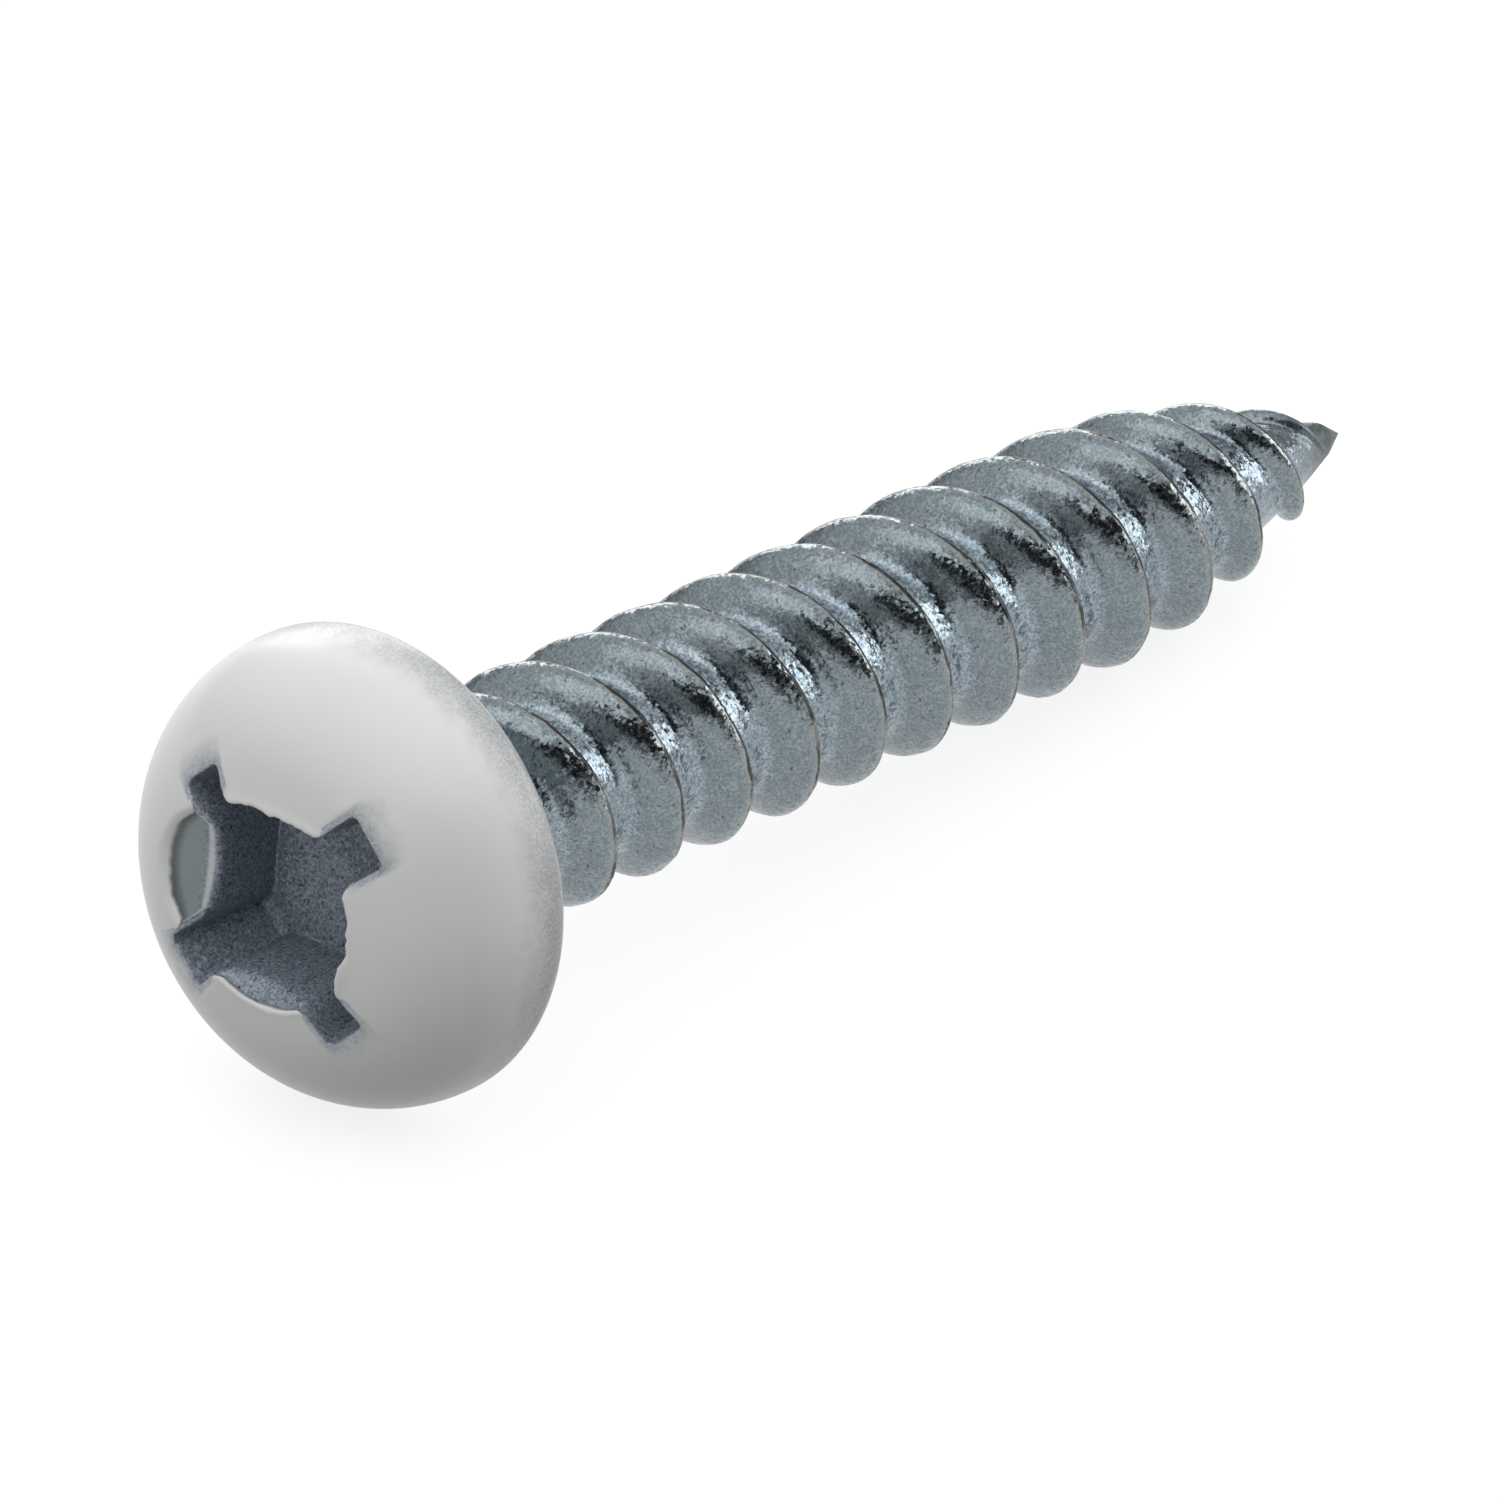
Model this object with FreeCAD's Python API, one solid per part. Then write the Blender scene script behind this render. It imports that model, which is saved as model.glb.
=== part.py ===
import FreeCAD, Part
import math
import os

from FreeCAD import Vector

# Pan head wood and sheet metal screw, number 8 by 1 inch, lying at rest on its head and thread.
#
# It is one piece of cold formed steel: a domed head with a combination drive recess (a square
# with a cross on its diagonals), a short plain neck, and a rolled two-start thread that runs
# down into a gimlet point. It is built upright on its own axis, with the bearing face at
# z = 0, the head above it and the point below, and is then laid down. Sizes in millimetres.

# Head, with the shoulder's round and the crown's radius following from these
HEAD_RADIUS = 4.10
HEAD_HEIGHT = 3.10
RIM_HEIGHT = 0.40
EDGE_ROUND = 0.35
SHOULDER_SHARE = 0.926

# Drive recess, its depth taken from the top of the crown
RECESS_DEPTH = 2.15
FLOOR_CONE_DEPTH = 0.30
SQUARE_AT_FLOOR = 2.80
SQUARE_DRAFT_DEG = 2.5
WING_WIDTH = 0.95
WING_SPAN = 5.10
WING_TAPER_DEG = 15.0
WING_DRAFT_DEG = 3.0
LEAD_IN_RADIUS = 1.95
LEAD_IN_SLOPE_DEG = 45.0
RECESS_TURN_DEG = -20.1

# Shank and thread, the length taken under the head
SHANK_LENGTH = 25.4
STARTS = 2
CREST_SPACING = 25.4 / 14.4
CREST_RADIUS = 2.12
ROOT_RADIUS = 1.50
CREST_LAND = 0.10
FLANK_DEG = 30.0
POINT_LENGTH = 7.6
NIB_RADIUS = 0.12
NIB_BLEND = 0.06

# Neck, where the thread runs out under the head
NECK_RADIUS = 1.80
NECK_LENGTH = 0.45
RUN_OUT_LENGTH = 1.50
COLLAR_ROUND = 0.35

# How far the screw is turned about its own axis as it lies
ROLL_DEG = 18.3

# Sections per turn that the thread's surfaces pass through
SECTIONS_PER_TURN = 8

SHOULDER_ROUND = SHOULDER_SHARE * (HEAD_HEIGHT - RIM_HEIGHT)
LEAD = STARTS * CREST_SPACING
THREAD_HEIGHT = CREST_RADIUS - ROOT_RADIUS


def point_share(t):
    """How far the point has grown at t above the tip, near 0 at the tip, 1 on the full shank."""
    x = t / POINT_LENGTH
    x = (x + math.hypot(x, NIB_BLEND)) / 2.0
    return 1.0 - (1.0 - min(x, 1.0)) ** 2


def run_out_share(t):
    """How far the thread has faded at t above the tip, 0 on the thread and 1 on the neck."""
    x = (t - (SHANK_LENGTH - NECK_LENGTH - RUN_OUT_LENGTH)) / RUN_OUT_LENGTH
    x = min(max(x, 0.0), 1.0)
    return x * x * (3.0 - 2.0 * x)


def sizes_at(t):
    """Root radius, crest radius and a flank's width along the axis, at t above the tip."""
    grown = point_share(t)
    faded = run_out_share(t)
    root = NIB_RADIUS + (ROOT_RADIUS - NIB_RADIUS) * grown
    height = THREAD_HEIGHT * grown
    crest = root + height
    flank = max(height, 0.25 * THREAD_HEIGHT) * math.tan(math.radians(FLANK_DEG))
    root += (NECK_RADIUS - root) * faded
    crest += (NECK_RADIUS - crest) * faded
    return root, crest, flank


def corner_place(corner, angle):
    """Where a corner of the thread's outline is, on the half plane at an angle.

    The corners count up the screw, four to a ridge: foot, land, land and foot.
    """
    ridge = angle / (2.0 * math.pi) * LEAD + (corner // 4) * CREST_SPACING
    flank = sizes_at(ridge)[2]
    half_land = CREST_LAND / 2.0
    steps = (-half_land - flank, -half_land, half_land, half_land + flank)
    t = ridge + steps[corner % 4]
    root, crest, _ = sizes_at(t)
    radius = crest if corner % 4 in (1, 2) else root
    return Vector(radius * math.cos(angle), radius * math.sin(angle), t - SHANK_LENGTH)


def helix_curves(corner, first_turn, turns):
    """The smooth curve that one corner leaves along the screw, in one piece for each turn."""
    full = 2.0 * math.pi
    count = turns * SECTIONS_PER_TURN
    angles = [full * (first_turn + k / SECTIONS_PER_TURN) for k in range(count + 1)]
    points = [corner_place(corner, angle) for angle in angles]
    curve = Part.BSplineCurve()
    curve.interpolate(Points=points, Parameters=angles)
    pieces = []
    for turn in range(turns):
        piece = curve.copy()
        piece.segment(full * (first_turn + turn), full * (first_turn + turn + 1))
        pieces.append(piece)
    return pieces


def ruled_face(lower, upper):
    """The face of straight lines between two curves that go round the screw together."""
    poles = [[p, q] for p, q in zip(lower.getPoles(), upper.getPoles())]
    counts = lower.getMultiplicities()
    knots = lower.getKnots()
    surface = Part.BSplineSurface()
    surface.buildFromPolesMultsKnots(
        poles, counts, [2, 2], knots, [0.0, 1.0], False, False, 3, 1
    )
    return surface.toShape()


def thread_skin(reach):
    """The thread's whole surface, from below the tip to above the neck."""
    first_turn = -1.5
    turns = math.ceil((SHANK_LENGTH + reach) / LEAD - first_turn + 0.5)
    corners = range(4 * STARTS)
    curves = [helix_curves(corner, first_turn, turns) for corner in corners]
    ladder = [curves[corner][turn] for turn in range(turns) for corner in corners]
    faces = [ruled_face(lower, upper) for lower, upper in zip(ladder, ladder[1:])]
    skin = Part.Shell(faces)
    skin.sewShape()
    return skin


def make_shank(reach):
    """Neck, two-start thread and gimlet point, going up by reach into the head."""
    length = SHANK_LENGTH + reach
    blank = Part.makeCylinder(1.5 * CREST_RADIUS, length, Vector(0, 0, -SHANK_LENGTH))
    pieces = blank.generalFuse([thread_skin(reach)])[0].Solids
    core = Vector(0, 0, -SHANK_LENGTH / 2.0)
    for piece in pieces:
        if piece.isInside(core, 0.001, True):
            return piece
    raise RuntimeError("the thread's surface doesn't close around the core")


def crown_circle():
    """Radius and centre height of the crown, tangent to the shoulder's round."""
    reach = HEAD_RADIUS - SHOULDER_ROUND
    rise = HEAD_HEIGHT - SHOULDER_ROUND
    centre = (reach**2 + RIM_HEIGHT**2 - rise**2) / (2.0 * (RIM_HEIGHT - rise))
    return HEAD_HEIGHT - centre, centre


def arc(centre_r, centre_z, radius, from_deg, to_deg):
    """An arc in the plane of the axis, with its angles measured up from the radius."""
    points = []
    for share in (0.0, 0.5, 1.0):
        angle = math.radians(from_deg + (to_deg - from_deg) * share)
        r = centre_r + radius * math.cos(angle)
        z = centre_z + radius * math.sin(angle)
        points.append(Vector(r, 0, z))
    return Part.Arc(*points).toShape()


def line(r0, z0, r1, z1):
    """A straight edge in the plane of the axis."""
    return Part.makeLine(Vector(r0, 0, z0), Vector(r1, 0, z1))


def turned(edges):
    """The solid of revolution of a closed outline about the screw's axis."""
    face = Part.Face(Part.Wire(edges))
    return face.revolve(Vector(0, 0, 0), Vector(0, 0, 1), 360)


def make_head():
    """The domed head, with a small round collar where the neck meets the bearing face."""
    crown, crown_z = crown_circle()
    side = HEAD_RADIUS - SHOULDER_ROUND
    edge = HEAD_RADIUS - EDGE_ROUND
    meet = math.degrees(math.atan2(RIM_HEIGHT - crown_z, side))
    collar = NECK_RADIUS + COLLAR_ROUND
    inside = NECK_RADIUS - 0.5 * COLLAR_ROUND
    sink = -0.8 * COLLAR_ROUND
    bow = Vector(NECK_RADIUS + 0.17 * COLLAR_ROUND, 0, 0.38 * sink)
    fillet = Part.Arc(Vector(inside, 0, sink), bow, Vector(collar, 0, 0)).toShape()
    edges = [
        line(0, sink, inside, sink),
        fillet,
        line(collar, 0, edge, 0),
        arc(edge, EDGE_ROUND, EDGE_ROUND, -90, 0),
        line(HEAD_RADIUS, EDGE_ROUND, HEAD_RADIUS, RIM_HEIGHT),
        arc(side, RIM_HEIGHT, SHOULDER_ROUND, 0, meet),
        arc(0, crown_z, crown, meet, 90),
        line(0, HEAD_HEIGHT, 0, sink),
    ]
    return turned(edges)


def box_loft(width_a, depth_a, z_a, width_b, depth_b, z_b):
    """A straight-sided block between two rectangles at two heights."""
    wires = []
    for width, depth, z in ((width_a, depth_a, z_a), (width_b, depth_b, z_b)):
        x = width / 2.0
        y = depth / 2.0
        corners = [Vector(x, y, z), Vector(-x, y, z), Vector(-x, -y, z), Vector(x, -y, z)]
        wires.append(Part.makePolygon(corners + corners[:1]))
    return Part.makeLoft(wires, True, True)


def recess_square(floor, top):
    """The square socket, a little wider at its mouth."""
    widen = 2.0 * (top - floor) * math.tan(math.radians(SQUARE_DRAFT_DEG))
    side = SQUARE_AT_FLOOR + widen
    return box_loft(SQUARE_AT_FLOOR, SQUARE_AT_FLOOR, floor, side, side, top)


def recess_wings(floor, top):
    """The cross on the square's diagonals, its wings tapering inward to the floor."""
    crown, crown_z = crown_circle()
    mouth = crown_z + math.sqrt(crown**2 - (WING_SPAN / 2.0) ** 2)
    taper = 2.0 * math.tan(math.radians(WING_TAPER_DEG))
    draft = 2.0 * math.tan(math.radians(WING_DRAFT_DEG))
    sizes = []
    for z in (floor, top):
        sizes.append((WING_SPAN + taper * (z - mouth), WING_WIDTH + draft * (z - mouth), z))
    wings = []
    for turn in (45, 135):
        wing = box_loft(*sizes[0], *sizes[1])
        wing.rotate(Vector(0, 0, 0), Vector(0, 0, 1), turn)
        wings.append(wing)
    return wings


def recess_lead_in(top):
    """The cone that opens the square's mouth and leaves a crescent on each of its sides."""
    crown, crown_z = crown_circle()
    mouth = crown_z + math.sqrt(crown**2 - LEAD_IN_RADIUS**2)
    slope = math.tan(math.radians(LEAD_IN_SLOPE_DEG))
    outer = LEAD_IN_RADIUS + (top - mouth) * slope
    tip = mouth - LEAD_IN_RADIUS / slope
    return Part.makeCone(0, outer, top - tip, Vector(0, 0, tip))


def make_recess():
    """The whole drive recess as one cutting shape."""
    floor = HEAD_HEIGHT - RECESS_DEPTH
    top = HEAD_HEIGHT + 0.5
    square = recess_square(floor, top)
    wings = recess_wings(floor, top)
    lead_in = recess_lead_in(top)
    dent = Part.makeCone(
        0, SQUARE_AT_FLOOR / 2.0 - 0.02, FLOOR_CONE_DEPTH, Vector(0, 0, floor - FLOOR_CONE_DEPTH)
    )
    recess = square.fuse(wings + [lead_in, dent])
    recess.rotate(Vector(0, 0, 0), Vector(0, 0, 1), RECESS_TURN_DEG)
    return recess


def make_screw():
    """The whole screw upright on its own axis, as one solid."""
    head = make_head()
    shank = make_shank(0.5 * RIM_HEIGHT)
    screw = head.fuse(shank)
    screw = screw.cut(make_recess())
    return screw.Solids[0]


def low_point(points, tilt, shift):
    """The lowest of some points once the axis is laid down, as its place along and height."""
    best = None
    for p in points:
        along = -p.z * math.cos(tilt) + p.x * math.sin(tilt)
        height = p.x * math.cos(tilt) + p.z * math.sin(tilt)
        if best is None or height < best[1]:
            best = (along + shift, height)
    return best


def lay_down(screw):
    """Turn the screw onto its side so that its head and its thread both touch the ground."""
    screw.rotate(Vector(0, 0, 0), Vector(0, 0, 1), ROLL_DEG)
    points = screw.tessellate(0.02)[0]
    head = [p for p in points if p.z >= 0]
    thread = [p for p in points if p.z < -SHANK_LENGTH / 4.0]
    tilt = 0.0
    for _ in range(8):
        head_x, head_z = low_point(head, tilt, 0.0)
        thread_x, thread_z = low_point(thread, tilt, 0.0)
        tilt += math.atan2(thread_z - head_z, thread_x - head_x)
    screw.rotate(Vector(0, 0, 0), Vector(0, 1, 0), -90 + math.degrees(tilt))
    points = screw.tessellate(0.01)[0]
    middle_x = (min(p.x for p in points) + max(p.x for p in points)) / 2.0
    middle_y = (min(p.y for p in points) + max(p.y for p in points)) / 2.0
    shift = Vector(-middle_x, -middle_y, -min(p.z for p in points))
    screw.translate(shift)
    return shift, math.degrees(tilt)


os.makedirs("parts", exist_ok=True)
screw = make_screw()
seat, tilt = lay_down(screw)
print("volume", round(screw.Volume, 2), "valid", screw.isValid())
print("bearing face centre", round(seat.x, 4), round(seat.y, 4), round(seat.z, 4), "tilt", round(tilt, 3))
screw.exportStep("parts/screw.step")
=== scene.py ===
# %% [markdown]
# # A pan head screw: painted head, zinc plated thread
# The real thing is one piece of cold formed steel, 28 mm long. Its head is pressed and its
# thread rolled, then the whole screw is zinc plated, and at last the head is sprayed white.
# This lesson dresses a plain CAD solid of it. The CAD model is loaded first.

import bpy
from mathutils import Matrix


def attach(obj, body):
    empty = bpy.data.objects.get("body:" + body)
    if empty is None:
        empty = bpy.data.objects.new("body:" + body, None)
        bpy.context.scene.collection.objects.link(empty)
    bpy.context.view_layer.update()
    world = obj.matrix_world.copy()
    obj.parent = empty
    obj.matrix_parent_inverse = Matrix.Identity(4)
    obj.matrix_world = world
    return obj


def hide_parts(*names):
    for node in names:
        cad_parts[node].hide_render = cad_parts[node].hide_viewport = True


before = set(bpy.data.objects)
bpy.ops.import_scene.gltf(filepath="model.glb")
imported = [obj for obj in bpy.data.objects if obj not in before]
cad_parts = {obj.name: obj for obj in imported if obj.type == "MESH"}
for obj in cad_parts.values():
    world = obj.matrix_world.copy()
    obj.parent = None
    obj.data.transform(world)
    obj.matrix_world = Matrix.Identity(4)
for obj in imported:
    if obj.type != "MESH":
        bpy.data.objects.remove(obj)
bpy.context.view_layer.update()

# %% [markdown]
# ## Sizes
# The drawing's sizes come next, in millimetres, for a screw that stands upright on its point.
# The head's underside is at height 0, the dome above it and the thread below. The screw could
# be modelled as it lies, but working upright keeps every formula short. One matrix at the end
# lays the finished mesh down.

# %% Python's tools and the sizes of the head
import functools
import math

import bmesh
import bpy
from mathutils import Matrix, Vector, noise

HEAD_RADIUS = 4.10
HEAD_HEIGHT = 3.10
RIM_HEIGHT = 0.40
EDGE_ROUND = 0.35
SHOULDER_ROUND = 2.50
print("head", 2 * HEAD_RADIUS, "mm wide and", HEAD_HEIGHT, "mm high")

# %% Sizes of the drive recess
RECESS_DEPTH = 2.15
FLOOR_CONE_DEPTH = 0.30
SQUARE_AT_FLOOR = 2.80
SQUARE_DRAFT = math.tan(math.radians(2.5))
WING_TAPER = math.tan(math.radians(15.0))
WING_DRAFT = math.tan(math.radians(3.0))
# Each wing's reach from the axis and its width, at the mouth
WINGS = ((2.46, 0.78), (2.42, 0.92), (2.50, 0.84), (2.57, 0.95))
# Each land's reach from the axis at the mouth, in its middle and at its ends
LAND_REACH = ((2.42, 2.03), (1.83, 1.85), (1.80, 1.90), (1.74, 1.95))
CREASE_DEPTH = 0.40
RECESS_TURN = math.radians(-20.1)
FLOOR = HEAD_HEIGHT - RECESS_DEPTH
print("recess floor at", round(FLOOR, 2), "mm above the bearing face")

# %% Sizes of the shank and the thread
SHANK_LENGTH = 25.4
CREST_SPACING = 25.4 / 14.4
LEAD = 2 * CREST_SPACING
CREST_RADIUS = 2.12
ROOT_RADIUS = 1.50
THREAD_HEIGHT = CREST_RADIUS - ROOT_RADIUS
POINT_LENGTH = 7.6
NIB_RADIUS = 0.12
NIB_BLEND = 0.06
NECK_RADIUS = 1.80
NECK_LENGTH = 0.45
RUN_OUT_LENGTH = 1.50
COLLAR_ROUND = 0.35
print("crests every", round(CREST_SPACING, 3), "mm, two starts, lead", round(LEAD, 3))

# %% The matrix that lays the screw down
BEARING_CENTRE = (-11.1039, 0.0001, 4.0423)
SLOPE = 6.044
ROLL = 18.3
LAID_DOWN = (
    Matrix.Scale(0.001, 4)
    @ Matrix.Translation(BEARING_CENTRE)
    @ Matrix.Rotation(math.radians(-90 + SLOPE), 4, "Y")
    @ Matrix.Rotation(math.radians(ROLL), 4, "Z")
)
print("tip at", [round(1000 * v, 2) for v in LAID_DOWN @ Vector((0, 0, -SHANK_LENGTH))], "mm")

# %% [markdown]
# ## The dome
# A pan head's top is two arcs: a flat crown and a rounder shoulder that drops to the rim. A
# plain spin of that curve would make the dome, but it would leave no place for the recess. The
# mesh here needs points at even steps along the curve, so one function walks along it from
# the axis and another says how far along a given radius is.

# %% The dome's curve
shoulder_centre = HEAD_RADIUS - SHOULDER_ROUND
rise = HEAD_HEIGHT - SHOULDER_ROUND
crown_centre = (shoulder_centre**2 + RIM_HEIGHT**2 - rise**2) / (2 * (RIM_HEIGHT - rise))
crown_radius = HEAD_HEIGHT - crown_centre
meet = math.atan2(RIM_HEIGHT - crown_centre, shoulder_centre)
crown_length = crown_radius * (math.pi / 2 - meet)
dome_length = crown_length + SHOULDER_ROUND * meet


def dome_place(length):
    """Radius and height on the dome, at a length along it from the axis."""
    if length <= crown_length:
        angle = length / crown_radius
        return crown_radius * math.sin(angle), crown_centre + crown_radius * math.cos(angle)
    angle = meet - (length - crown_length) / SHOULDER_ROUND
    r = shoulder_centre + SHOULDER_ROUND * math.cos(angle)
    return r, RIM_HEIGHT + SHOULDER_ROUND * math.sin(angle)


def dome_travel(radius):
    """The length along the dome from the axis out to a radius."""
    meeting_radius = dome_place(crown_length)[0]
    if radius <= meeting_radius:
        return crown_radius * math.asin(radius / crown_radius)
    angle = math.acos(min((radius - shoulder_centre) / SHOULDER_ROUND, 1.0))
    return crown_length + SHOULDER_ROUND * (meet - angle)


def dome_height(radius):
    """Height of the dome at a radius."""
    return dome_place(dome_travel(radius))[1]


print("crown radius", round(crown_radius, 2), "mm, dome curve", round(dome_length, 2), "mm long")

# %% [markdown]
# ## The drive recess
# The recess takes a square driver and a cross driver. It is a square socket with four wings
# on its diagonals, and a flare opens the mouth, which leaves a smooth crescent over a side of
# the square. The punch struck a little off centre and paint has partly filled the mouth, so
# each wing has its own reach and width, and each side between two wings, or land, its own
# reach. A boolean cut would leave slivers on the dome. The outline of the recess becomes the
# innermost ring of the head's own mesh instead, and every ring of the head then has the same
# columns of points, from the recess's floor out to the rim.

# %% The recess's sizes at a height
LAND_HALF_ANGLE = math.radians(35)
ROUNDS_TO_SETTLE = 6


def recess_sizes(z, wing):
    """Half the square's side, a wing's reach and half its width."""
    square = SQUARE_AT_FLOOR / 2 + (z - FLOOR) * SQUARE_DRAFT
    mouth_reach, mouth_width = WINGS[wing % 4]
    below_mouth = z - dome_height(mouth_reach)
    reach = mouth_reach + below_mouth * WING_TAPER
    half_width = mouth_width / 2 + below_mouth * WING_DRAFT
    return square, reach, half_width


def lead_in_reach(z, land, angle):
    """How far the flare of a land reaches from the axis, at an angle from the land's middle."""
    middle, end = LAND_REACH[land]
    share = (1 - math.cos(angle)) / (1 - math.cos(LAND_HALF_ANGLE))
    mouth = middle + (end - middle) * share
    flare = (mouth - recess_sizes(z, 0)[0]) / CREASE_DEPTH
    return mouth + (z - dome_height(mouth)) * flare


def land_corner(z, land, wing):
    """Where a land meets a wing's side: its distance along the wing and its angle."""
    square, reach, half_width = recess_sizes(z, wing)
    along = math.sqrt(2) * square - half_width
    for _ in range(ROUNDS_TO_SETTLE):
        angle = math.pi / 4 - math.atan2(half_width, along)
        flared = lead_in_reach(z, land, angle)
        if flared > math.hypot(along, half_width):
            along = math.sqrt(flared**2 - half_width**2)
    return along, math.pi / 4 - math.atan2(half_width, along)


def land_place(z, land, angle):
    """A point of a land, by its angle from the land's middle, in the wing's own axes."""
    radius = max(recess_sizes(z, 0)[0] / math.cos(angle), lead_in_reach(z, land, angle))
    turned = math.pi / 4 + angle
    return Vector((radius * math.cos(turned), radius * math.sin(turned)))


print("lands reach", [middle for middle, end in LAND_REACH], "mm")
print("wings reach", [reach for reach, width in WINGS], "mm")

# %% [markdown]
# A quarter of the outline runs from the end of one wing to the end of the next. Its corners
# could be bevelled later, but a bevel would add points to some rings and not to others. Real
# corners are never knife sharp, least of all under paint, so each corner is a short curve in
# the outline itself.

# %% A quarter of the outline
END_CORNER = 0.13
LAND_CORNER = 0.15
CORNER_STEPS = 4
END_STEPS = 6
SIDE_STEPS = 4
LAND_STEPS = 18


def curve_round(start, corner, end, steps):
    """Points of a short curve that rounds a corner, its start included and its end left out."""
    shares = [k / steps for k in range(steps)]
    return [(1 - s) ** 2 * start + 2 * s * (1 - s) * corner + s**2 * end for s in shares]


def straight(start, end, steps):
    """Evenly spaced points of a line, its start included and its end left out."""
    return [start.lerp(end, k / steps) for k in range(steps)]


@functools.cache
def quarter_outline(z, land):
    """The outline at a height, from one wing's end round to the start of the next wing's."""
    turn = Matrix.Rotation(math.pi / 2, 2)
    sides = []
    for wing in (land, land + 1):
        square, reach, half = recess_sizes(z, wing)
        along, angle = land_corner(z, land, wing)
        outer = Vector((reach - END_CORNER, half))
        inner = Vector((along + LAND_CORNER, half))
        swing = angle - LAND_CORNER / math.hypot(along, half)
        sides.append((outer, inner, Vector((along, half)), swing, Vector((reach, half))))
    (outer, inner, corner, swing, high), (outer_2, inner_2, corner_2, swing_2, high_2) = sides
    flip = Vector((1, -1))
    low = high * flip
    points = curve_round(outer * flip, low, low + Vector((0, END_CORNER)), CORNER_STEPS)
    points += straight(low + Vector((0, END_CORNER)), high - Vector((0, END_CORNER)), END_STEPS)
    points += curve_round(high - Vector((0, END_CORNER)), high, outer, CORNER_STEPS)
    points += straight(outer, inner, SIDE_STEPS)
    points += curve_round(inner, corner, land_place(z, land, -swing), CORNER_STEPS)
    for k in range(LAND_STEPS):
        points.append(land_place(z, land, -swing + (swing + swing_2) * k / LAND_STEPS))
    last = land_place(z, land, swing_2)
    points += curve_round(last, turn @ (corner_2 * flip), turn @ (inner_2 * flip), CORNER_STEPS)
    points += straight(turn @ (inner_2 * flip), turn @ (outer_2 * flip), SIDE_STEPS)
    return points


QUARTER = len(quarter_outline(FLOOR, 0))
COLUMNS = 4 * QUARTER
print(COLUMNS, "columns of points round the recess")

# %% [markdown]
# Each column of points has its own profile. It climbs the recess's wall, breaks at the foot of
# the flare, reaches the mouth, bends over a small round lip onto the dome, and runs on to the
# rim. The mouth's height follows from where the wall meets the dome. That could be solved on
# paper for each kind of wall, but halving a range of heights serves them all.

# %% Heights in a column
LIP = 0.06
HALVINGS = 24
SURELY_INSIDE = 0.5
HAIR = 1e-6


def recess_place(column, z):
    """A point of the recess's outline in a column, at a height."""
    quarter, step = divmod(column % COLUMNS, QUARTER)
    turn = Matrix.Rotation(math.pi / 4 + RECESS_TURN + quarter * math.pi / 2, 2)
    return turn @ quarter_outline(z, quarter)[step]


def height_where(low, high, is_below):
    """Halve a range of heights until it closes on the height where a test changes."""
    for _ in range(HALVINGS):
        middle = (low + high) / 2
        low, high = (middle, high) if is_below(middle) else (low, middle)
    return low


def mouth_height(column):
    """Where the recess's wall meets the dome in a column."""

    def under_the_dome(z):
        return z < dome_height(recess_place(column, z).length)

    return height_where(FLOOR + SURELY_INSIDE, HEAD_HEIGHT, under_the_dome)


def crease_height(column):
    """The foot of the flare in a column of a land."""
    land, step = divmod(column, QUARTER)

    def on_the_square(z):
        point = quarter_outline(z, land)[step]
        flared = lead_in_reach(z, land, math.atan2(point.y, point.x) - math.pi / 4)
        return point.length > flared + HAIR

    return height_where(FLOOR, mouths[column] - LIP, on_the_square)


print("lip", LIP, "mm")

# %% Every column's heights
WING_CREASE_DEPTH = 0.25
# How clearly each land's flare stands out from the wall, from 0 to 1
FLARE_SHOWS = (1.0, 0.1, 1.0, 1.0)
end_columns = 2 * CORNER_STEPS + END_STEPS
first_land = end_columns + SIDE_STEPS + CORNER_STEPS
mouths = [mouth_height(column) for column in range(COLUMNS)]
creases, end_shares, land_shares = [], [], []
for column in range(COLUMNS):
    land, step = divmod(column, QUARTER)
    nearest = min(max(step, first_land), first_land + LAND_STEPS)
    steps_off = min(max(step - end_columns, 0), QUARTER - step)
    end_share = max(0.0, 1.0 - steps_off / (SIDE_STEPS + CORNER_STEPS))
    crease = crease_height(land * QUARTER + nearest)
    creases.append(crease + (mouths[0] - WING_CREASE_DEPTH - crease) * end_share)
    end_shares.append(end_share)
    land_shares.append(FLARE_SHOWS[land] if nearest == step else 0.0)
print("crease from", round(min(creases), 2), "to", round(max(creases), 2), "mm high")
print("mouth from", round(min(mouths), 2), "to", round(max(mouths), 2), "mm high")

# %% [markdown]
# ## The rings of the head
# One row of the head is a ring of points, one to a column. A row is made by extruding the ring
# before it and putting each new vertex where its column's profile says. Beside the place, each
# row carries the numbers that the finishes read later: how far it is past the mouth's edge or
# the rim's edge, and how much it lies on the flare. Masks painted by hand would do for a
# picture, but numbers that come with the points stay right when a size changes.

# %% Rows inside the recess
WALL_SHARES = (0, 0.04, 0.12, 0.24, 0.38, 0.52, 0.66, 0.80, 0.92, 1)
FLARE_SHARES = (0, 0.25, 0.5, 0.75, 1)
CREASE_GAP = 0.05
LEAST_FLARE = 0.10
FLARE_FOOT = 0.2


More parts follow.
